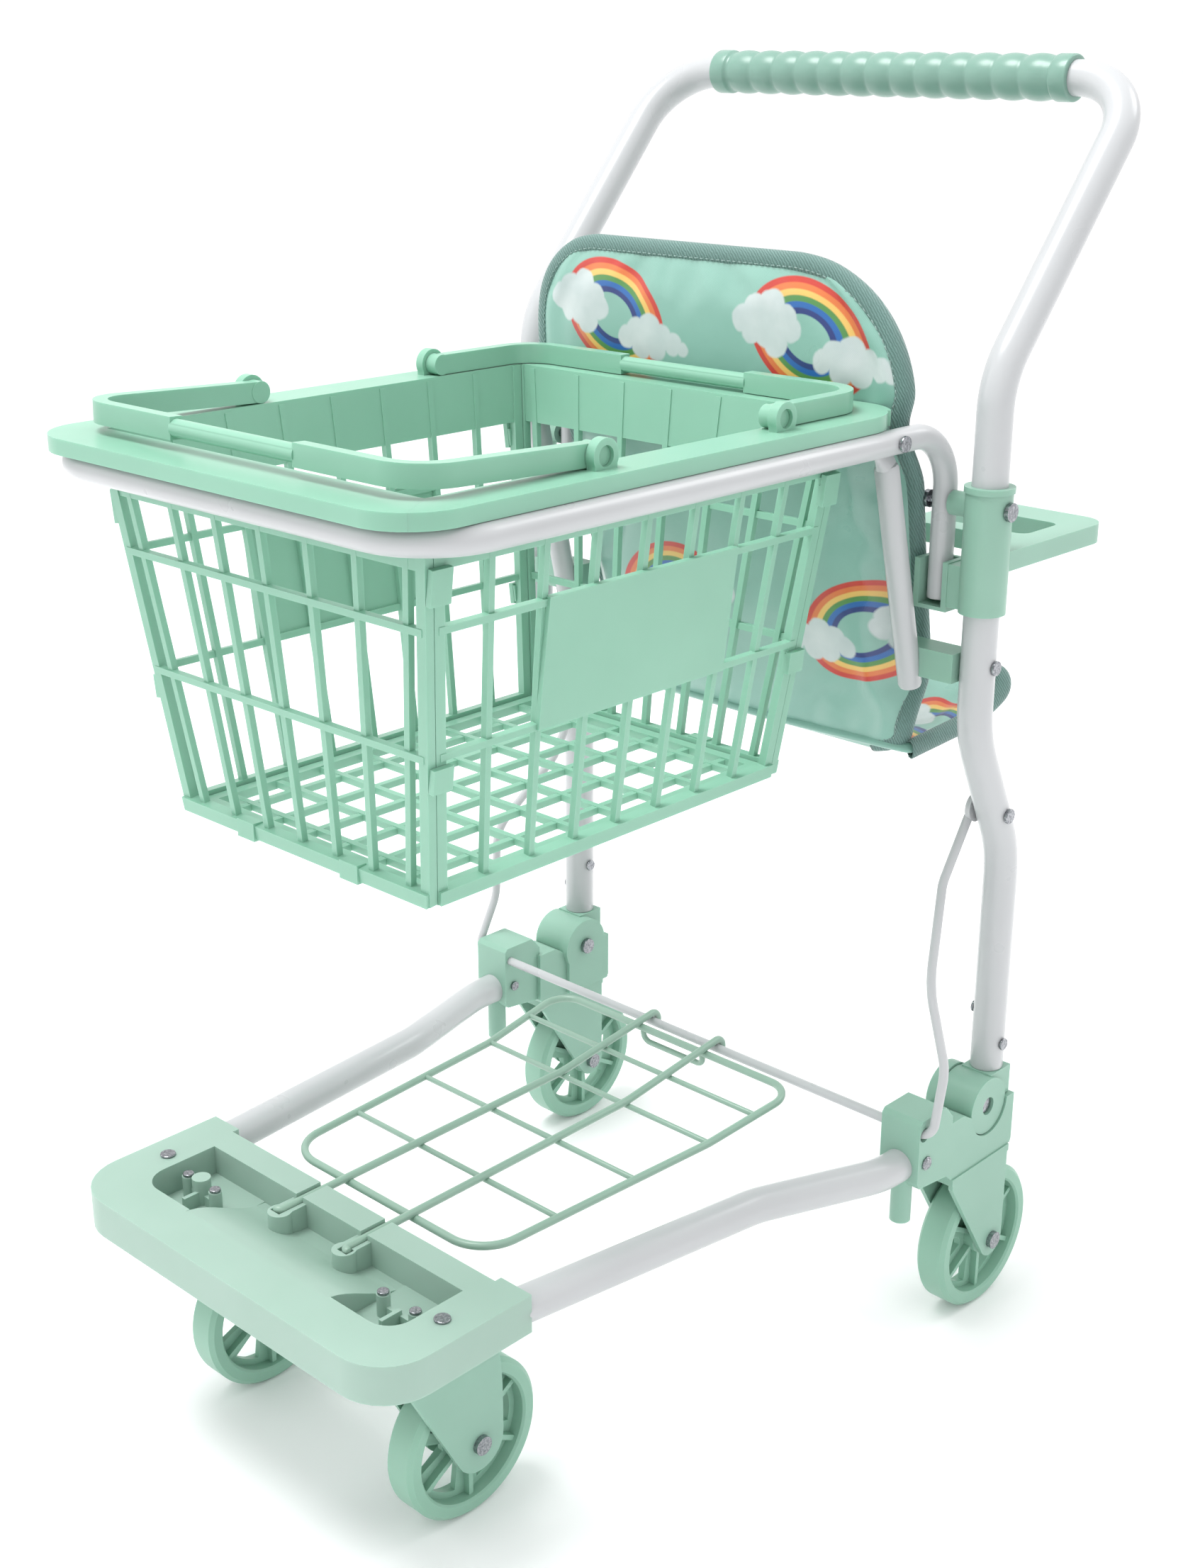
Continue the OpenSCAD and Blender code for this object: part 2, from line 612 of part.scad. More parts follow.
// One leaning wall, drawn flat and stood up with its outer face toward -Y.
// half: half width at the floor. side_lean: how its ends spread. lean: how it leans out.
module wall(half, side_lean, lean, pitch, growth) {
  post_w = 5;
  top = rim_z - 0.3;
  rail = floor_z + 6;
  band = 431;
  module layer(z0, z1) rotate([90 + atan(lean), 0, 0]) translate([0, 0, z0]) linear_extrude(z1 - z0)
    children();
  module sheet(z0, z1, inset) polygon([[-edge_at(half, side_lean, z0) + inset, up(z0, lean)],
    [edge_at(half, side_lean, z0) - inset, up(z0, lean)],
    [edge_at(half, side_lean, z1) - inset, up(z1, lean)],
    [-edge_at(half, side_lean, z1) + inset, up(z1, lean)]]);
  // corner posts
  layer(0, wall_t) difference() {
    sheet(floor_z, top, 0);
    sheet(floor_z - 1, top + 1, post_w);
  }
  layer(0, 5.4) sheet(floor_z, rail, 0.4);
  layer(0.9, 3.3) sheet(band, top, 2);
  // upright bars, which run on as ribs over the top band
  layer(0.4, 0.4 + bar_w) for (i = [-3:3]) polygon([
    [bar_at(i, pitch, growth, rail - 2) - bar_w / 2, up(rail - 2, lean)],
    [bar_at(i, pitch, growth, rail - 2) + bar_w / 2, up(rail - 2, lean)],
    [bar_at(i, pitch, growth, top - 1) + bar_w / 2, up(top - 1, lean)],
    [bar_at(i, pitch, growth, top - 1) - bar_w / 2, up(top - 1, lean)]]);
  // cross bars a little proud of them
  layer(1.3, 4.3) for (z = [355.5, 406.5]) sheet(z, z + bar_w, 2);
}

// The rim seen from above, about the basket's middle
module rim_outline(inset) {
  r = corner_r - inset;
  c = rim_half_w - corner_r;
  front = -(rim_front - corner_r);
  rear = rim_rear - corner_r;
  polygon(concat(arc(c, rear, r, 0, 90, 12), arc(-c, rear, r, 90, 180, 12),
    arc(-c, front, r, 180, 270, 12), arc(c, front, r, 270, 360, 12)));
}

// One wall's share of the rim: a flange and a turned-down lip
module rim_share(share) {
  intersection() {
    union() {
      translate([0, 0, rim_z - 2.6]) linear_extrude(2.6) difference() {
        rim_outline(0);
        square([2 * mouth_w, 2 * mouth_l], center = true);
      }
      translate([0, 0, lip_base]) linear_extrude(rim_z - 0.6 - lip_base) difference() {
        rim_outline(0);
        rim_outline(4);
      }
    }
    translate([0, 0, lip_base - 1]) linear_extrude(rim_z - lip_base + 2) polygon(share);
  }
}

// A far point on the seam that runs from the mouth's corner through the rim's rounded corner
function seam(out) = let (p = [rim_half_w - corner_r * (1 - cos(45)), out - corner_r * (1 - sin(45))],
  q = [mouth_w, mouth_l]) q + (p - q) * 1.6;

module end_wall(out) {
  s = seam(out);
  difference() {
    translate([0, -(basket_half_l - wall_t), floor_z])
      wall(basket_half_w, spread_x, spread_y, 21.7, 0.00217);
    both() translate([mouth_w, -mouth_l - 10, rim_z - 2.8]) cube([10, 20, 10]);
  }
  rim_share([[-mouth_w, -mouth_l], [-s[0], -s[1]], [s[0], -s[1]], [mouth_w, -mouth_l]]);
  // catches along the bottom edge
  both() translate([27.5, -basket_half_l - 2.6, floor_z - 1.4]) cube([11, 5, 8]);
}

module side_wall() {
  front = seam(rim_front);
  rear = seam(rim_rear);
  half = basket_half_l - wall_t - 0.35;
  rim_share([[mouth_w, -mouth_l], [front[0], -front[1]], [rear[0], rear[1]], [mouth_w, mouth_l]]);
  rotate([0, 0, 90]) {
    translate([0, -(basket_half_w - wall_t), floor_z]) {
      wall(half, spread_y, spread_x, 25, 0.00097);
      // blank placard on the outside of the bars
      rotate([90 + atan(spread_x), 0, 0]) translate([-55, up(356, spread_x), wall_t - 1])
        cube([110, 55, 2.6]);
      // corner catches that reach over the end walls' posts
      for (s = [-1, 1], z = [344, 419]) {
        end = edge_at(basket_half_l, spread_y, z);
        rotate([90 + atan(spread_x), 0, 0]) {
          translate([s * (end - 5) - 5, up(z, spread_x), wall_t + 0.15])
            cube([10, z > 400 ? 14 : 10, 2.6]);
          translate([s * (end - 8.2) - 1.6, up(z, spread_x) + 1, wall_t - 1]) cube([3.2, 8, 2]);
        }
      }
    }
    // upright lugs for the handles
    for (y = [lug_front, lug_rear]) difference() {
      union() {
        translate([y - basket_y, -103.2, lug_z]) rotate([90, 0, 0]) cylinder(h = 4.4, r = 6.8);
        translate([y - basket_y - 6, -107.6, rim_z - 1.5]) cube([12, 4.4, 6]);
      }
      translate([y - basket_y, -100, lug_z]) rotate([90, 0, 0]) cylinder(h = 12, r = 4);
    }
  }
}

module basket_front() color(mint) translate([0, basket_y, 0]) end_wall(rim_front);
module basket_rear() color(mint) translate([0, basket_y, 0]) mirror([0, 1, 0]) end_wall(rim_rear);
module basket_side_right() color(mint) translate([0, basket_y, 0]) side_wall();
// the walls' middle sits off the lugs, so the left wall is a mirror image
module basket_side_left() color(mint) left() translate([0, basket_y, 0]) side_wall();

module basket_floor() color(mint) translate([0, basket_y, floor_z]) {
  half_w = basket_half_w - wall_t - 0.4;
  half_l = basket_half_l - wall_t - 0.4;
  border = 5.5;
  linear_extrude(4.2) difference() {
    square([2 * half_w, 2 * half_l], center = true);
    square([2 * (half_w - border), 2 * (half_l - border)], center = true);
  }
  translate([0, 0, 0.4]) linear_extrude(bar_w) for (i = [-3:2])
    translate([(i + 0.5) * 22 - bar_w / 2, -half_l + 1]) square([bar_w, 2 * half_l - 2]);
  translate([0, 0, 0.7]) linear_extrude(bar_w) for (j = [-4:3])
    translate([-half_w + 1, (j + 0.5) * 25 - bar_w / 2]) square([2 * half_w - 2, bar_w]);
}

// Carrying handle drawn with its pins at the origin and its arms toward +Y
module carry_handle(reach) {
  t = 6;
  h = 9;
  r = 20;
  end = 37;
  both() {
    translate([0, 0, -h / 2]) linear_extrude(h)
      polygon(concat([[arm_x + t / 2, 0]], arc(arm_x + t / 2 - r, reach + t / 2 - r, r, 0, 90),
        [[end, reach + t / 2], [end, reach - t / 2]],
        arc(arm_x + t / 2 - r, reach + t / 2 - r, r - t, 90, 0), [[arm_x - t / 2, 0]]));
    rod_x(arm_x - 3.3, arm_x + 3.1, 0, 0, 4.8);
    rod_x(arm_x, 105.8, 0, 0, 3.94);
  }
  rod_x(-end - 0.5, end + 0.5, reach, 0, 3.6);
}

module front_handle() color(mint)
  translate([0, lug_front, lug_z]) rotate([-2.4, 0, 0]) mirror([0, 1, 0]) carry_handle(87);

module rear_handle() color(mint) translate([0, lug_rear, lug_z]) carry_handle(61);

platform();
lower_tube_left();
lower_tube_right();
rear_bracket_left();
rear_bracket_right();
rear_fork_left();
rear_fork_right();
front_fork_left();
front_fork_right();
front_axle_left();
front_axle_right();
rear_axle_left();
rear_axle_right();
platform_screws();
fork_rivets();
bracket_screws();
pivot_bolts();
front_wheel_left();
front_wheel_right();
rear_wheel_left();
rear_wheel_right();
brace_wire();
rack();
handle_tube();
grip();
sleeve_left();
sleeve_right();
knuckle_left();
knuckle_right();
basket_frame();
seat_tube_left();
seat_tube_right();
seat_clip_left();
seat_clip_right();
seat_back();
seat_base();
seat_screws();
brace_bolts();
knuckle_screws();
sleeve_bolts();
frame_bolts();
basket_front();
basket_rear();
basket_side_left();
basket_side_right();
basket_floor();
front_handle();
rear_handle();
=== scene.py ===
"""The toy shopping cart's visual model: plastic, tubes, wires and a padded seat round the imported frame."""

import json
import math

import bmesh
import bpy
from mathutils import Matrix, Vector

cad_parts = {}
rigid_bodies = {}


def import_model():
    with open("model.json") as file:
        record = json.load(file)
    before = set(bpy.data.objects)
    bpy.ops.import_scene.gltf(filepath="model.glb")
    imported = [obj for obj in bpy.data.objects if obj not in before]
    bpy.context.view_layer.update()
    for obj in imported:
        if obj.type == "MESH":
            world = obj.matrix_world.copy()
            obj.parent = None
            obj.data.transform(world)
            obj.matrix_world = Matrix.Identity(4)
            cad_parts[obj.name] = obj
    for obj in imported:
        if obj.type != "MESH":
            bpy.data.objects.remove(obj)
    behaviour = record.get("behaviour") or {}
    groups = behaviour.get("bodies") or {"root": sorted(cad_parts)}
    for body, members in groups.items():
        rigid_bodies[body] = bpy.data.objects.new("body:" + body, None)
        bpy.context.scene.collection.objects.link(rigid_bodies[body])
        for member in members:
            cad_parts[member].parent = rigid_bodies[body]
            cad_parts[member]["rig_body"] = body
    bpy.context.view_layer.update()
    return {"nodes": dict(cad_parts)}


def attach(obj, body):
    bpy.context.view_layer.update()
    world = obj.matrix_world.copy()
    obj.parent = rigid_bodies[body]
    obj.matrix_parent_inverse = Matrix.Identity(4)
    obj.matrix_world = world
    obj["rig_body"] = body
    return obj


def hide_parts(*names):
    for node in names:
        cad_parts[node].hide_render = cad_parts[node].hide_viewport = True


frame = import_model()
nodes = frame["nodes"]
MM = 0.001


# ---------- colour and node helpers ----------


def srgb(r, g, b):
    """An 8-bit screen colour as linear light."""
    out = []
    for c in (r, g, b):
        c /= 255
        out.append(c / 12.92 if c <= 0.04045 else ((c + 0.055) / 1.055) ** 2.4)
    return (*out, 1.0)


class Net:
    """A material's node tree, with short calls for the nodes used here."""

    def __init__(self, name):
        self.mat = bpy.data.materials.new(name)
        self.mat.use_nodes = True
        self.tree = self.mat.node_tree
        self.tree.nodes.clear()
        out = self.tree.nodes.new("ShaderNodeOutputMaterial")
        self.bsdf = self.tree.nodes.new("ShaderNodeBsdfPrincipled")
        self.tree.links.new(self.bsdf.outputs[0], out.inputs["Surface"])
        self.place = self.tree.nodes.new("ShaderNodeTexCoord").outputs["Object"]

    def put(self, socket, value):
        if isinstance(value, bpy.types.NodeSocket):
            self.tree.links.new(value, socket)
        else:
            socket.default_value = value

    def shade(self, **values):
        for key, value in values.items():
            self.put(self.bsdf.inputs[key.replace("_", " ")], value)

    def math(self, op, a, b=0.0, clamp=False):
        n = self.tree.nodes.new("ShaderNodeMath")
        n.operation = op
        n.use_clamp = clamp
        self.put(n.inputs[0], a)
        self.put(n.inputs[1], b)
        return n.outputs[0]

    def vec(self, op, a, b=(0, 0, 0), out=0):
        n = self.tree.nodes.new("ShaderNodeVectorMath")
        n.operation = op
        self.put(n.inputs[0], a)
        self.put(n.inputs[1], b)
        return n.outputs[out]

    def join(self, x, y, z=0.0):
        n = self.tree.nodes.new("ShaderNodeCombineXYZ")
        for socket, value in zip(n.inputs, (x, y, z)):
            self.put(socket, value)
        return n.outputs[0]

    def split(self, v):
        n = self.tree.nodes.new("ShaderNodeSeparateXYZ")
        self.put(n.inputs[0], v)
        return n.outputs

    def mix(self, fac, a, b):
        n = self.tree.nodes.new("ShaderNodeMix")
        n.data_type = "RGBA"
        self.put(n.inputs[0], fac)
        self.put(n.inputs[6], a)
        self.put(n.inputs[7], b)
        return n.outputs[2]

    def noise(self, scale, detail=2.0, rough=0.5, at=None):
        n = self.tree.nodes.new("ShaderNodeTexNoise")
        self.put(n.inputs["Vector"], self.place if at is None else at)
        n.inputs["Scale"].default_value = scale
        n.inputs["Detail"].default_value = detail
        n.inputs["Roughness"].default_value = rough
        return n.outputs["Fac"]

    def spread(self, value, lo, hi, to_lo, to_hi):
        n = self.tree.nodes.new("ShaderNodeMapRange")
        for i, v in enumerate((value, lo, hi, to_lo, to_hi)):
            self.put(n.inputs[i], v)
        return n.outputs[0]

    def bump(self, height, distance, strength=1.0, under=None):
        n = self.tree.nodes.new("ShaderNodeBump")
        n.inputs["Strength"].default_value = strength
        n.inputs["Distance"].default_value = distance
        self.put(n.inputs["Height"], height)
        if under is not None:
            self.put(n.inputs["Normal"], under)
        return n.outputs[0]


def plastic(name, colour, rough, grain, deep):
    """Moulded plastic: faint flow marks in the colour, fine grain and slightly uneven gloss."""
    n = Net(name)
    flow = n.noise(14, 3, 0.55)
    fine = n.noise(1500, 2, 0.6)
    col = n.mix(n.spread(flow, 0.35, 0.7, 0.0, 1.0), srgb(*colour), srgb(*deep))
    n.shade(Base_Color=col, Roughness=n.spread(n.noise(22, 2), 0.3, 0.7, rough - 0.02, rough + 0.04))
    n.shade(Normal=n.bump(fine, 0.00004, grain))
    n.shade(IOR=1.47, Subsurface_Weight=0.18, Subsurface_Scale=0.004)
    n.bsdf.inputs["Subsurface Radius"].default_value = (0.6, 1.0, 0.8)
    return n.mat


def enamel(name, colour, rough, peel):
    """Powder coat: orange peel over an even colour."""
    n = Net(name)
    big = n.noise(9, 2)
    col = n.mix(n.spread(big, 0.3, 0.7, 0.0, 1.0), srgb(*colour), srgb(*[c * 0.965 for c in colour]))
    n.shade(Base_Color=col, Roughness=n.spread(n.noise(35, 3), 0.3, 0.7, rough, rough + 0.08))
    n.shade(Normal=n.bump(n.noise(420, 2, 0.45), 0.00025, peel), IOR=1.5)
    n.shade(Coat_Weight=0.25, Coat_Roughness=0.12)
    return n.mat


def zinc(name):
    n = Net(name)
    worn = n.noise(900, 3, 0.6)
    col = n.mix(n.spread(worn, 0.35, 0.7, 0.0, 1.0), srgb(168, 170, 174), srgb(112, 115, 120))
    n.shade(Base_Color=col, Metallic=1.0, Roughness=n.spread(worn, 0.3, 0.7, 0.16, 0.3))
    n.shade(Normal=n.bump(n.noise(2500, 2), 0.00006, 0.25))
    return n.mat


MINT = plastic("mint_plastic", (134, 182, 160), 0.30, 0.12, (129, 177, 155))
MINT_PALE = plastic("mint_plastic_fittings", (138, 176, 159), 0.38, 0.2, (132, 170, 153))
DECK = plastic("mint_plastic_platform", (151, 177, 165), 0.40, 0.22, (145, 172, 159))
WHEEL = plastic("mint_plastic_wheel", (140, 181, 162), 0.42, 0.25, (132, 174, 154))
GRIP = plastic("soft_grip", (122, 157, 144), 0.30, 0.15, (116, 151, 138))
WHITE = enamel("white_tube", (184, 186, 188), 0.26, 0.05)
WIRE = enamel("mint_wire", (140, 170, 154), 0.34, 0.14)
ZINC = zinc("screws")


def print_cloth(name, across, along, ring_u, ring_v):
    """Coated cloth with a printed repeat of rings and clouds. across and along are axes, 0 to 2, and ring_u
    and ring_v are one ring's middle along them, in mm."""
    n = Net(name)
    mm = n.vec("MULTIPLY", n.place, (1000, 1000, 1000))
    axes = n.split(mm)
    u, v = axes[across], axes[along]
    pitch_u, pitch_v, shift = 116.0, 134.0, 21.0
    ring_long, ring_short, tilt = 34.5, 24.5, math.radians(25)
    v = n.math("SUBTRACT", v, ring_v)
    row = n.math("ROUND", n.math("DIVIDE", v, pitch_v))
    v = n.math("SUBTRACT", v, n.math("MULTIPLY", row, pitch_v))
    u = n.math("ADD", n.math("SUBTRACT", u, ring_u), n.math("MULTIPLY", row, shift))
    u = n.math("SUBTRACT", u, n.math("MULTIPLY", n.math("ROUND", n.math("DIVIDE", u, pitch_u)), pitch_u))
    # every other row is mirrored
    odd = n.math("ABSOLUTE", n.math("MODULO", row, 2.0))
    u = n.math("MULTIPLY", u, n.math("SUBTRACT", 1.0, n.math("MULTIPLY", odd, 2.0)))
    c, s = math.cos(tilt), math.sin(tilt)
    a = n.math("DIVIDE", n.math("SUBTRACT", n.math("MULTIPLY", u, c), n.math("MULTIPLY", v, s)), ring_long)
    b = n.math("DIVIDE", n.math("ADD", n.math("MULTIPLY", u, s), n.math("MULTIPLY", v, c)), ring_short)
    rho = n.vec("LENGTH", n.join(a, b), out=1)
    ground = n.mix(n.spread(n.noise(20, 3), 0.3, 0.7, 0.0, 1.0), srgb(134, 178, 165), srgb(127, 171, 158))
    col = ground
    bands = [srgb(190, 52, 40), srgb(212, 112, 56), srgb(222, 180, 96), srgb(76, 132, 68),
             srgb(28, 94, 164), srgb(26, 48, 112)]
    band_wide, hole, crisp = 0.098, 0.41, 40.0
    for i, band in enumerate(bands):
        inside = n.math("MULTIPLY", n.math("SUBTRACT", 1.0 - band_wide * i, rho), crisp, clamp=True)
        col = n.mix(inside, col, band)
    col = n.mix(n.math("MULTIPLY", n.math("SUBTRACT", hole, rho), crisp, clamp=True), col, ground)
    local = n.join(u, v)
    ragged = n.math("MULTIPLY", n.math("SUBTRACT", n.noise(0.12, 2, 0.5, at=mm), 0.5), 2.2)
    white = None
    puffs = [(-36, 6, 7), (-29, 10, 8), (-20, 12, 8.5), (-13, 7, 8), (-9, 3, 6.5), (-22, 2, 9), (-31, 1, 6.5),
             (-17, -3, 7.5), (9, -9, 6), (15, -6, 7), (23, -4, 7.5), (31, -8, 7), (38, -10, 6), (19, -12, 7),
             (28, -13, 6.5), (44, -12, 4)]
    for x, y, r in puffs:
        far = n.vec("DISTANCE", local, (x, y, 0), out=1)
        soft = n.math("MULTIPLY", n.math("SUBTRACT", n.math("ADD", ragged, r), far), 0.9, clamp=True)
        white = soft if white is None else n.math("MAXIMUM", white, soft)
    shadow = n.spread(n.noise(0.05, 3, at=mm), 0.3, 0.7, 0.0, 1.0)
    tone = n.mix(shadow, srgb(200, 207, 207), srgb(178, 190, 190))
    col = n.mix(white, col, tone)
    n.shade(Base_Color=col, Roughness=n.spread(n.noise(30, 3), 0.3, 0.7, 0.27, 0.36))
    # a fine plain weave under the coating
    yarn = 2 * math.pi / 0.9
    w1 = n.math("SINE", n.math("MULTIPLY", axes[across], yarn))
    w2 = n.math("SINE", n.math("MULTIPLY", axes[along], yarn))
    weave = n.bump(n.math("MULTIPLY", w1, w2), 0.00008, 0.22)
    n.shade(Normal=n.bump(n.noise(26, 3, 0.5), 0.004, 0.22, weave))
    n.shade(Coat_Weight=0.35, Coat_Roughness=0.16, Sheen_Weight=0.05)
    return n.mat


def twill(name, colour, dark):
    """Binding tape: steep diagonal ribs."""
    n = Net(name)
    mm = n.vec("MULTIPLY", n.place, (1000, 1000, 1000))
    x, y, z = n.split(mm)
    wobble = n.math("MULTIPLY", n.noise(0.5, 2, at=mm), 1.4)
    d = n.math("ADD", n.math("ADD", n.math("MULTIPLY", x, 0.85), n.math("MULTIPLY", z, 0.62)),
               n.math("MULTIPLY", y, 0.9))
    rib = n.math("SINE", n.math("MULTIPLY", n.math("ADD", d, wobble), 2 * math.pi / 1.5))
    fac = n.spread(rib, -1.0, 1.0, 0.0, 1.0)
    col = n.mix(fac, srgb(*dark), srgb(*colour))
    col = n.mix(n.spread(n.noise(45, 3), 0.35, 0.65, 0.0, 0.35), col, srgb(*[c * 0.86 for c in colour]))
    n.shade(Base_Color=col, Roughness=0.72, Sheen_Weight=0.35, Sheen_Roughness=0.4)
    n.shade(Normal=n.bump(fac, 0.00035, 0.6, n.bump(n.noise(2200, 2), 0.0001, 0.5)))
    return n.mat


CLOTH_BACK = print_cloth("seat_cloth_back", 0, 2, -57.0, 482.0)
CLOTH_BASE = print_cloth("seat_cloth_base", 0, 1, 93.0, 147.0)
TAPE = twill("seat_binding", (112, 144, 138), (80, 112, 106))
THREAD = twill("seat_stitch", (150, 176, 170), (112, 140, 134))


# ---------- mesh helpers ----------


def add(name, verts, faces, mat, smooth_deg=35):
    me = bpy.data.meshes.new(name)
    me.from_pydata([tuple(v) for v in verts], [], faces)
    me.validate()
    me.materials.append(mat)
    me.shade_smooth()
    me.set_sharp_from_angle(angle=math.radians(smooth_deg))
    ob = bpy.data.objects.new(name, me)
    bpy.context.scene.collection.objects.link(ob)
    return ob


def settle(ob, body, slot, *stands_for):
    """Puts a piece on a body, in place of the CAD nodes that it stands for. slot is not used."""
    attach(ob, body)
    if stands_for:
        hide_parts(*stands_for)
    return ob


def route(points, bends, turn=math.radians(5)):
    """Points along a bent bar, in metres, from its corners and bend radii in millimetres."""
    p = [Vector(q) * MM for q in points]
    out = [p[0]]
    for i in range(1, len(p) - 1):
        u = (p[i] - p[i - 1]).normalized()
        v = (p[i + 1] - p[i]).normalized()
        angle = u.angle(v)
        r = bends[i - 1] * MM
        w = u.cross(v).normalized().cross(u)
        start = p[i] - u * r * math.tan(angle / 2)
        centre = start + w * r
        k = max(2, math.ceil(angle / turn))
        for j in range(k + 1):
            at = angle * j / k
            out.append(centre - w * r * math.cos(at) + u * r * math.sin(at))
    out.append(p[-1])
    clean = [out[0]]
    for q in out[1:]:
        if (q - clean[-1]).length > 2e-5:
            clean.append(q)
    return clean


def swept(path, r, around=28, closed=False, lip=0.0006):
    """A round bar along a path, with softly rounded ends. Returns verts and faces."""
    n = len(path)
    tangents = []
    for i in range(n):
        a = path[i - 1] if i or closed else path[0]
        b = path[(i + 1) % n] if i < n - 1 or closed else path[-1]
        tangents.append((b - a).normalized())
    up = Vector((0, 0, 1)) if abs(tangents[0].z) < 0.9 else Vector((1, 0, 0))
    normal = (up - tangents[0] * up.dot(tangents[0])).normalized()
    rings = []
    for i in range(n):
        if i:
            normal = (normal - tangents[i] * normal.dot(tangents[i])).normalized()
        rings.append((path[i], tangents[i], normal, r))
    if not closed:
        p, t, m = rings[0][:3]
        rings[0:1] = [(p, t, m, r - lip), (p + t * lip * 0.3, t, m, r - lip * 0.3), (p + t * lip, t, m, r)]
        p, t, m = rings[-1][:3]
        rings[-1:] = [(p - t * lip, t, m, r), (p - t * lip * 0.3, t, m, r - lip * 0.3), (p, t, m, r - lip)]
    verts, faces = [], []
    for p, t, m, rr in rings:
        side = t.cross(m)
        for k in range(around):
            a = 2 * math.pi * k / around
            verts.append(p + (m * math.cos(a) + side * math.sin(a)) * rr)
    count = len(rings)
    for i in range(count if closed else count - 1):
        j = (i + 1) % count
        for k in range(around):
            q = (k + 1) % around
            faces.append((i * around + k, i * around + q, j * around + q, j * around + k))
    if not closed:
        faces.append(tuple(reversed(range(around))))
        faces.append(tuple(range((count - 1) * around, count * around)))
    return verts, faces


def merged(parts):
    verts, faces = [], []
    for v, f in parts:
        base = len(verts)
        verts += v
        faces += [tuple(i + base for i in face) for face in f]
    return verts, faces


def mirrored(part):
    verts, faces = part
    return [Vector((-v[0], v[1], v[2])) for v in verts], [tuple(reversed(f)) for f in faces]


def moulded(name, width, mat, slot, segments=2, angle=30):
    """The CAD node with rounded edges, as it comes out of a mould."""
    src = nodes[name]
    bm = bmesh.new()
    bm.from_mesh(src.data)
    bmesh.ops.remove_doubles(bm, verts=bm.verts, dist=3e-6)
    bmesh.ops.dissolve_limit(bm, angle_limit=math.radians(0.5), verts=bm.verts, edges=bm.edges)
    bm.verts.index_update()
    verts = [v.co.copy() for v in bm.verts]
    faces = [tuple(v.index for v in f.verts) for f in bm.faces]
    bm.free()
    ob = add(name + "_moulded", verts, faces, mat, 180)
    bevel = ob.modifiers.new("edges", "BEVEL")
    bevel.width = width * MM
    bevel.segments = segments
    bevel.limit_method = "ANGLE"
    bevel.angle_limit = math.radians(angle)
    bevel.use_clamp_overlap = True
    bevel.harden_normals = False
    weigh = ob.modifiers.new("normals", "WEIGHTED_NORMAL")
    weigh.keep_sharp = False
    return settle(ob, src["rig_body"], slot, name)


# ---------- moulded and metal pieces ----------

for side in ("left", "right"):
    for piece, width in (("rear_bracket", 1.2), ("rear_fork", 0.6), ("front_fork", 0.6), ("sleeve", 0.9),
                         ("knuckle", 1.2), ("seat_clip", 0.9)):
        moulded(f"{piece}_{side}", width, MINT_PALE, "mint_plastic")
    for piece in ("front_wheel", "rear_wheel"):
        moulded(f"{piece}_{side}", 0.6, WHEEL, "mint_plastic")
    for piece in ("front_axle", "rear_axle"):
        moulded(f"{piece}_{side}", 0.5, ZINC, "screws")
    moulded(f"basket_side_{side}", 0.9, MINT, "mint_plastic")
moulded("platform", 1.4, DECK, "mint_plastic", 3)
for name in ("basket_front", "basket_rear"):
    moulded(name, 0.9, MINT, "mint_plastic")
moulded("basket_floor", 0.6, MINT, "mint_plastic")
for name in ("front_handle", "rear_handle"):
    moulded(name, 1.2, MINT, "mint_plastic", 3)
for name in ("platform_screws", "fork_rivets", "bracket_screws", "pivot_bolts", "seat_screws", "brace_bolts",
             "knuckle_screws", "sleeve_bolts", "frame_bolts"):
    moulded(name, 0.45, ZINC, "screws")

# ---------- tubes and wires ----------

# radii of the bars, in mm
TUBE_R = 8  # handle and chassis
FRAME_R = 5.5  # basket frame and seat tubes
BRACE_R = 2.25
RACK_R = 1.9
CROSS_WIRE_R = 1.4
LOOP_R = 1.5

LEG_X, LEG_Y, BAR_Y, BAR_Z = 139, 110.4, 213, 589
leg = [(LEG_X, 142, 131), (LEG_X, 142, 246), (LEG_X, LEG_Y, 310), (LEG_X, LEG_Y, 470), (LEG_X, BAR_Y, BAR_Z)]
other = [(-x, y, z) for x, y, z in reversed(leg)]
handle_path = route(leg + other, [60, 60, 40, 33, 33, 40, 60, 60])
settle(add("handle_tube_coated", *swept(handle_path, TUBE_R * MM, 36), WHITE), "upper_frame", "white_tube",
       "handle_tube")

run = [(93.3, -186, 113.85), (116.5, -9, 108.6), (138.6, 58, 104.5), (138.6, 88, 104.5)]
for side, sign in (("right", 1), ("left", -1)):
    path = route([(sign * x, y, z) for x, y, z in run], [60, 60])
    settle(add(f"lower_tube_{side}_coated", *swept(path, TUBE_R * MM, 36), WHITE), "base", "white_tube",
           f"lower_tube_{side}")

HOOK_X, HOOK_Y, FRAME_FRONT, FRAME_Z = 115, 112, -195.7, 445.2
half_hoop = [(HOOK_X, HOOK_Y, 369.5), (HOOK_X, HOOK_Y, FRAME_Z), (HOOK_X, FRAME_FRONT, FRAME_Z)]
hoop = half_hoop + [(-x, y, z) for x, y, z in reversed(half_hoop)]
hoop_path = route(hoop, [26, 30, 30, 26])
settle(add("basket_frame_coated", *swept(hoop_path, FRAME_R * MM, 32), WHITE), "upper_frame", "white_tube",
       "basket_frame")

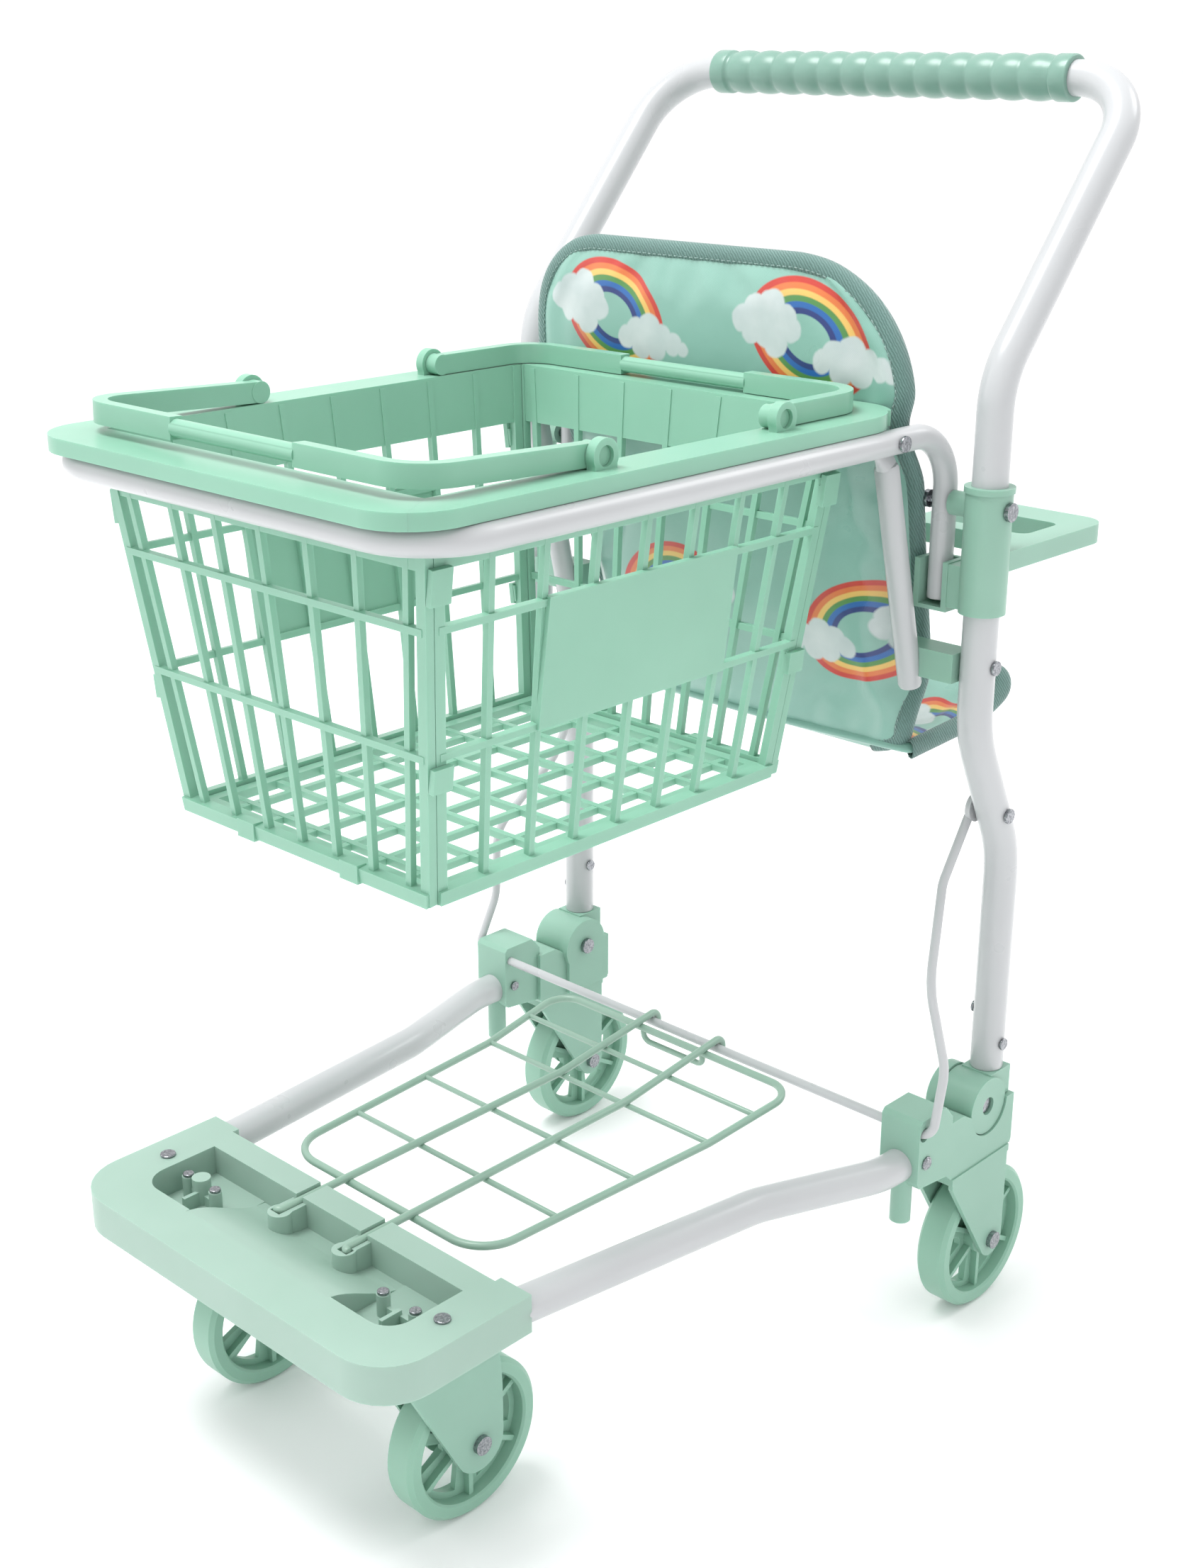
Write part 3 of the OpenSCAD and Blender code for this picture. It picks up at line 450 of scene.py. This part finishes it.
for side, sign in (("right", 1), ("left", -1)):
    top, end = Vector((sign * 107, 77.6, 434)) * MM, Vector((sign * 108.5, 103, 328)) * MM
    parts = [swept([top, end], FRAME_R * MM, 32, lip=0.0022)]
    # flattened tongue at the top, under the bolt
    tongue = [(78.6, 429.5, 5.2, 5.2), (77.6, 433, 5.8, 4.2), (76.2, 436, 6.6, 2.4),
              (74.0, 439, 7.0, 1.5), (71.5, 446, 6.8, 1.4), (71.0, 449.5, 4.6, 1.3)]
    ring, verts, faces = 28, [], []
    for cy, z, half_w, half_t in tongue:
        for k in range(ring):
            a = 2 * math.pi * k / ring
            verts.append(Vector((sign * (107.2 + half_t * math.cos(a)), cy + half_w * math.sin(a), z)) * MM)
    last = len(tongue) - 1
    for i in range(last):
        for k in range(ring):
            q = (k + 1) % ring
            f = (i * ring + k, i * ring + q, (i + 1) * ring + q, (i + 1) * ring + k)
            faces.append(f if sign > 0 else tuple(reversed(f)))
    cap = tuple(range(last * ring, (last + 1) * ring))
    faces.append(cap if sign > 0 else tuple(reversed(cap)))
    parts.append((verts, faces))
    settle(add(f"seat_tube_{side}_coated", *merged(parts), WHITE), "upper_frame", "white_tube",
           f"seat_tube_{side}")

CROSS_Y, CROSS_Z, EYE_Y, EYE_Z = 75, 123.2, 131.7, 267
brace = [(154, CROSS_Y, CROSS_Z), (151, 87, 153), (143.5, 81, 196), (128, 110, 234), (128, 128.6, 263.1)]
whole = [(-x, y, z) for x, y, z in reversed(brace)] + brace
# the eye at the wire's end, turned about its own axis
eye = [(128.0, 6.2), (128.0, 7.0), (130.6, 7.0), (130.6, 6.2), (130.6, 2.4), (128.0, 2.4)]
ring, verts, faces = 32, [], []
for x, r in eye:
    for k in range(ring):
        a = 2 * math.pi * k / ring
        verts.append(Vector((x, EYE_Y + r * math.cos(a), EYE_Z + r * math.sin(a))) * MM)
for i in range(len(eye)):
    j = (i + 1) % len(eye)
    for k in range(ring):
        q = (k + 1) % ring
        faces.append((i * ring + k, j * ring + k, j * ring + q, i * ring + q))
eye_part = (verts, faces)
wire = swept(route(whole, [20, 26, 24, 6, 6, 24, 26, 20]), BRACE_R * MM, 20)
settle(add("brace_wire_coated", *merged([wire, eye_part, mirrored(eye_part)]), WHITE), "brace", "white_tube",
       "brace_wire")

RACK_Z, ROD_Z = 117, 119.5
RACK_FRONT, RISE_Y, RACK_REAR = -131, 8, 66
HALF_FRONT, HALF_RISE, HALF_REAR = 65.5, 74.5, 79.5  # the rack's half widths there
ROD_X, FOOT_X, FOOT_Y = 22, 25.4, -170.7
gap = BRACE_R + 0.3 + RACK_R  # between the middles of the cross wire and a hook
climb = (CROSS_Z + gap - ROD_Z) / (CROSS_Y - RISE_Y)
rear_z = ROD_Z + climb * (RACK_REAR - RISE_Y) - 3.4
half_loop = [(HALF_FRONT, RACK_FRONT, RACK_Z), (HALF_RISE, RISE_Y, RACK_Z), (HALF_REAR, RACK_REAR, rear_z)]
outline = half_loop + [(-x, y, z) for x, y, z in reversed(half_loop)]
start = [(0, RACK_FRONT, RACK_Z)]
loop = route(start + outline + start, [20, 40, 13, 13, 40, 20])[:-1]
rack_parts = [swept(loop, RACK_R * MM, 18, closed=True)]
for y in (-87, -40, 8, 39):
    half = HALF_FRONT + (HALF_RISE - HALF_FRONT) * (y - RACK_FRONT) / (RISE_Y - RACK_FRONT)
    z = RACK_Z
    if y > RISE_Y:
        rise = RACK_REAR - RISE_Y
        half = HALF_RISE + (HALF_REAR - HALF_RISE) * (y - RISE_Y) / rise
        z = RACK_Z + (rear_z - RACK_Z) * (y - RISE_Y) / rise
    rack_parts.append(swept([Vector((-half, y, z)) * MM, Vector((half, y, z)) * MM], CROSS_WIRE_R * MM, 14))
for sign in (1, -1):
    x = sign * ROD_X
    long_wire = [(sign * FOOT_X, FOOT_Y, ROD_Z), (x, FOOT_Y, ROD_Z), (x, RISE_Y, ROD_Z),
                 (x, CROSS_Y + gap, ROD_Z + climb * (CROSS_Y + gap - RISE_Y)),
                 (x, CROSS_Y + gap, CROSS_Z - 2.5)]
    rack_parts.append(swept(route(long_wire, [RACK_R, 60, gap], math.radians(12)), RACK_R * MM, 18,
                            lip=0.0012))
finger = [(-20, RACK_REAR, rear_z - 1), (-20, 67, rear_z - 7.5), (20, 67, rear_z - 7.5),
          (20, RACK_REAR, rear_z - 1)]
rack_parts.append(swept(route(finger, [4, 4]), LOOP_R * MM, 16))
settle(add("rack_coated", *merged(rack_parts), WIRE), "rack", "mint_wire", "rack")

# soft grip: plain cuffs and thirteen round ridges
half, bumps = 104.3, 13
profile = [(0, 8.05), (0, 9.9), (0.3, 10.3), (0.8, 10.5), (8, 10.5), (8.8, 10.2), (9.4, 9.5)]
pitch = (2 * half - 22) / bumps
for i in range(bumps):
    for j in range(12):
        profile.append((11 + pitch * (i + j / 12), 9.2 + 1.3 * math.sin(math.pi * j / 12) ** 0.8))
length = 2 * half
profile += [(length - 9.4, 9.5), (length - 8.8, 10.2), (length - 8, 10.5), (length - 0.8, 10.5),
            (length - 0.3, 10.3), (length, 9.9), (length, 8.05)]
verts, faces, ring = [], [], 48
for x, r in profile:
    for k in range(ring):
        a = 2 * math.pi * k / ring
        verts.append(Vector((x - half, BAR_Y + r * math.cos(a), BAR_Z + r * math.sin(a))) * MM)
for i in range(len(profile) - 1):
    for k in range(ring):
        q = (k + 1) % ring
        faces.append((i * ring + k, (i + 1) * ring + k, (i + 1) * ring + q, i * ring + q))
settle(add("grip_soft", verts, faces, GRIP, 50), "upper_frame", "soft_grip", "grip")


# ---------- padded seat ----------


def smooth(x):
    x = max(0.0, min(1.0, x))
    return x * x * (3 - 2 * x)


def ramp(table, z):
    for (z0, v0), (z1, v1) in zip(table, table[1:]):
        if z <= z1:
            t = max(0.0, (z - z0) / (z1 - z0))
            return v0 + (v1 - v0) * t
    return table[-1][1]


def back_edges(z):
    """Left and right edges of the seat back at height z, in mm."""
    body = ramp([(286, 92), (292, 97), (305, 100), (340, 103), (395, 105), (425, 107), (452, 108),
                 (462, 111.5), (520, 112.5)], z)
    lo, hi = -body - 0.5, body
    r_left, r_right, top = 38, 64, 516.5
    if z > top - r_left:
        d = r_left - (top - z)
        lo = -body + r_left - math.sqrt(max(0, r_left ** 2 - d ** 2))
    if z > top - r_right:
        d = r_right - (top - z)
        hi = body - r_right + math.sqrt(max(0, r_right ** 2 - d ** 2))
    if z < 296:
        d = (296 - z) / 10
        trim = 14 * (1 - math.sqrt(max(0, 1 - d * d)))
        lo, hi = lo + trim, hi - trim
    return lo, hi


def back_front(z, x):
    """Front face of the seat back, in mm: it leans with the seat tubes and its sides curl rearwards."""
    y = ramp([(286, 116.5), (328, 109.8), (428, 86.2), (445, 84.8), (520, 84.2)], z)
    edge = max(0.0, (abs(x) - 78) / 30)
    curl = 13 * smooth((450 - z) / 30) * smooth((z - 300) / 30) * smooth(edge)
    return y + curl


COLS = 44  # points across a seat panel
TAPE_WIDTH = 7.0  # of the binding round a panel, mm


def pad(name, rows, edges, surface, thick, mat):
    """A closed quilted panel: rows of points between two edges, front and back skins that meet at the rim."""
    cols = COLS
    n = len(rows)
    front, back, taped = [], [], []
    for i, w in enumerate(rows):
        lo, hi = edges(w)
        for j in range(cols + 1):
            t = j / cols
            x = lo + (hi - lo) * t
            rim = min(x - lo, hi - x, abs(w - rows[0]), abs(rows[-1] - w))
            if rim < TAPE_WIDTH + 2.5:
                taped.append(len(front))
            swell = math.sqrt(max(0.0, 1 - (1 - min(rim, 16) / 16) ** 2))
            half = 0.9 + (thick / 2 - 0.9) * swell
            f, b = surface(w, x, half)
            front.append(f * MM)
            back.append(b * MM)
    verts = front + back
    base = len(front)
    faces = []
    for i in range(n - 1):
        for j in range(cols):
            a = i * (cols + 1) + j
            faces.append((a, a + 1, a + cols + 2, a + cols + 1))
            faces.append((base + a, base + a + cols + 1, base + a + cols + 2, base + a + 1))
    loop = list(range(cols + 1)) + [i * (cols + 1) + cols for i in range(1, n)]
    loop += [(n - 1) * (cols + 1) + j for j in range(cols - 1, -1, -1)]
    loop += [i * (cols + 1) for i in range(n - 2, 0, -1)]
    for a, b in zip(loop, loop[1:] + loop[:1]):
        faces.append((a, base + a, base + b, b))
    ob = add(name, verts, faces, mat, 180)
    stuff(ob, taped + [base + i for i in taped], 3.0, 4 * MM, -0.02)
    return ob, loop, base


def stuff(ob, pinned, pressure, cap, shrink, frames=20):
    """Inflates a panel with Blender's cloth, held where it is pinned. No point moves further than cap."""
    group = ob.vertex_groups.new(name="rim")
    group.add(pinned, 1.0, "REPLACE")
    mod = ob.modifiers.new("cloth", "CLOTH")
    s = mod.settings
    s.quality = 7
    s.mass = 0.15
    s.tension_stiffness = 30
    s.compression_stiffness = 30
    s.shear_stiffness = 12
    s.bending_stiffness = 0.6
    s.vertex_group_mass = "rim"
    s.use_pressure = True
    s.uniform_pressure_force = pressure
    s.shrink_min = shrink
    s.effector_weights.gravity = 0
    mod.collision_settings.use_collision = False
    scene = bpy.context.scene
    for f in range(1, frames + 1):
        scene.frame_set(f)
    shaped = ob.evaluated_get(bpy.context.evaluated_depsgraph_get())
    new = [v.co.copy() for v in shaped.data.vertices]
    old = [v.co.copy() for v in ob.data.vertices]
    ob.modifiers.clear()
    for v, a, b in zip(ob.data.vertices, old, new):
        move = b - a
        if move.length > cap:
            move = move.normalized() * cap
        v.co = a + move
    scene.frame_set(1)


def add_subdivision(ob, levels=1):
    mod = ob.modifiers.new("subdivide", "SUBSURF")
    mod.levels = levels
    mod.render_levels = levels


def binding(name, ob, loop, base, outwards, sewn, swell=1.2):
    """Tape folded over the rim of a panel. outwards gives the in-plane outward direction at a rim point."""
    rim = [(ob.data.vertices[i].co.copy() + ob.data.vertices[base + i].co) / 2 for i in loop]
    face = [(ob.data.vertices[base + i].co - ob.data.vertices[i].co).normalized() for i in loop]
    n = len(rim)
    section = []
    w = TAPE_WIDTH * MM
    for t, d in ((-1.0, 2.1), (-0.85, 3.1), (-0.5, 3.3), (-0.12, 2.9), (0.08, 1.9), (0.16, 0.0)):
        section.append((t * w, -d * MM * swell))
    section += [(t, -d) for t, d in reversed(section[:-1])]
    verts, faces, seam = [], [], []
    for i in range(n):
        tangent = (rim[(i + 1) % n] - rim[i - 1]).normalized()
        out = tangent.cross(face[i]).normalized()
        if out.dot(outwards(rim[i])) < 0:
            out = -out
        for t, d in section:
            verts.append(rim[i] + out * t + face[i] * d)
        seam.append(rim[i] - out * w * 0.74 - face[i] * (3.1 * swell + 0.35) * MM)
    m = len(section)
    for i in range(n):
        j = (i + 1) % n
        if i < sewn:  # the cloth runs on over this edge, without tape
            continue
        for k in range(m - 1):
            faces.append((i * m + k, i * m + k + 1, j * m + k + 1, j * m + k))
    tape = add(name, verts, faces, TAPE, 180)
    solid = tape.modifiers.new("tape", "SOLIDIFY")
    solid.thickness = 0.0006
    solid.offset = 0
    add_subdivision(tape)
    return tape, stitches(name + "_stitches", seam[sewn:], face[sewn:])


def stitches(name, line, normal, pitch=3.2, long=2.0, r=0.28):
    """A row of short raised threads along a line of points."""
    parts, carry = [], 0.0
    for i, (a, b) in enumerate(zip(line, line[1:])):
        seg = (b - a).length / MM
        if seg < 1e-6:
            continue
        d = (b - a).normalized()
        while carry < seg:
            p = a + d * carry * MM
            lift = normal[i] * -0.2 * MM
            line_of_thread = [p - lift, p + d * long * 0.5 * MM + lift, p + d * long * MM - lift]
            parts.append(swept(line_of_thread, r * MM, 6, lip=0.0001))
            carry += pitch
        carry -= seg
    return add(name, *merged(parts), THREAD, 180)


def spaced(lo, hi, step):
    n = max(2, round((hi - lo) / step))
    return [lo + (hi - lo) * i / n for i in range(n + 1)]


rows_back = spaced(286, 512, 5) + [514.2, 515.8, 516.8]


def back_surface(z, x, half):
    y = back_front(z, x) + 4.0
    return Vector((x, y - half, z)), Vector((x, y + half, z))


def base_edges(y):
    half, corner, rear = 104.0, 14.0, 204.5
    if y > rear - corner:
        half -= corner - math.sqrt(max(0, corner ** 2 - (y - rear + corner) ** 2))
    return -half, half


def base_surface(y, x, half):
    z = ramp([(114, 292.0), (157, 294.0), (176, 297.0), (188, 301.0), (204, 309.0)], y)
    lift = smooth((y - 165) / 35)
    dip = (2.5 - 6 * lift) * math.cos(x / 104 * math.pi / 2)
    return Vector((x, y, z - dip - half)), Vector((x, y, z - dip + half))


back, back_loop, back_base = pad("seat_back_pad", rows_back, back_edges, back_surface, 8.0, CLOTH_BACK)
rows_base = spaced(114, 190, 5) + [193, 196, 199, 201.5, 203.2, 204.2]
seat, seat_loop, seat_base_i = pad("seat_base_pad", rows_base, base_edges, base_surface, 8.0, CLOTH_BASE)

middle_back = Vector((0, 0, 400)) * MM
middle_seat = Vector((0, 160, 295)) * MM
back_tape, back_thread = binding("seat_back_binding", back, back_loop, back_base, lambda p: p - middle_back,
                                 COLS)
seat_tape, seat_thread = binding("seat_base_binding", seat, seat_loop, seat_base_i, lambda p: p - middle_seat,
                                 COLS)
for thread in (back_thread, seat_thread):
    settle(thread, "upper_frame", "seat_cloth")
for ob in (back, seat):
    add_subdivision(ob)

for ob, names in ((back, ["seat_back"]), (seat, ["seat_base"]), (back_tape, []), (seat_tape, [])):
    settle(ob, "upper_frame", "seat_cloth", *names)

# ---------- floor, light, camera ----------

floor = Net("floor_pale")
floor.shade(Base_Color=floor.mix(floor.spread(floor.noise(3, 3), 0.3, 0.7, 0.0, 1.0), srgb(252, 252, 252),
                                 srgb(249, 249, 250)), Roughness=0.85)
wide = 30.0
corners = [(-wide, -wide, 0), (wide, -wide, 0), (wide, wide, 0), (-wide, wide, 0)]
ground = add("floor", corners, [(0, 1, 2, 3)], floor.mat)

world = bpy.data.worlds.new("studio")
bpy.context.scene.world = world
world.use_nodes = True
sky = world.node_tree.nodes["Background"]
sky.inputs["Color"].default_value = (1.0, 1.0, 1.0, 1)
sky.inputs["Strength"].default_value = 1.06


def soft_light(name, at, wide, watts):
    """A round area light that looks at the middle of the cart."""
    data = bpy.data.lights.new(name, "AREA")
    data.shape = "DISK"
    data.size = wide
    data.energy = watts
    ob = bpy.data.objects.new(name, data)
    bpy.context.scene.collection.objects.link(ob)
    ob.location = at
    ob.rotation_euler = (Vector((0, 0, 0.3)) - Vector(at)).to_track_quat("-Z", "Y").to_euler()


soft_light("key", (-0.5, -0.6, 2.6), 1.2, 54)
soft_light("fill", (-1.8, -1.6, 1.2), 1.6, 4)
soft_light("rim", (0.9, 2.0, 2.0), 1.2, 12)

data = bpy.data.cameras.new("camera")
data.sensor_width = 36
data.lens = 47.18
data.clip_start = 0.05
camera = bpy.data.objects.new("camera", data)
bpy.context.scene.collection.objects.link(camera)
camera.location = (0.6207, -0.6458, 0.6101)
camera.rotation_euler = (math.radians(90 - 20.2), 0, math.radians(43.6))
bpy.context.scene.camera = camera
bpy.context.scene.view_settings.view_transform = "Standard"
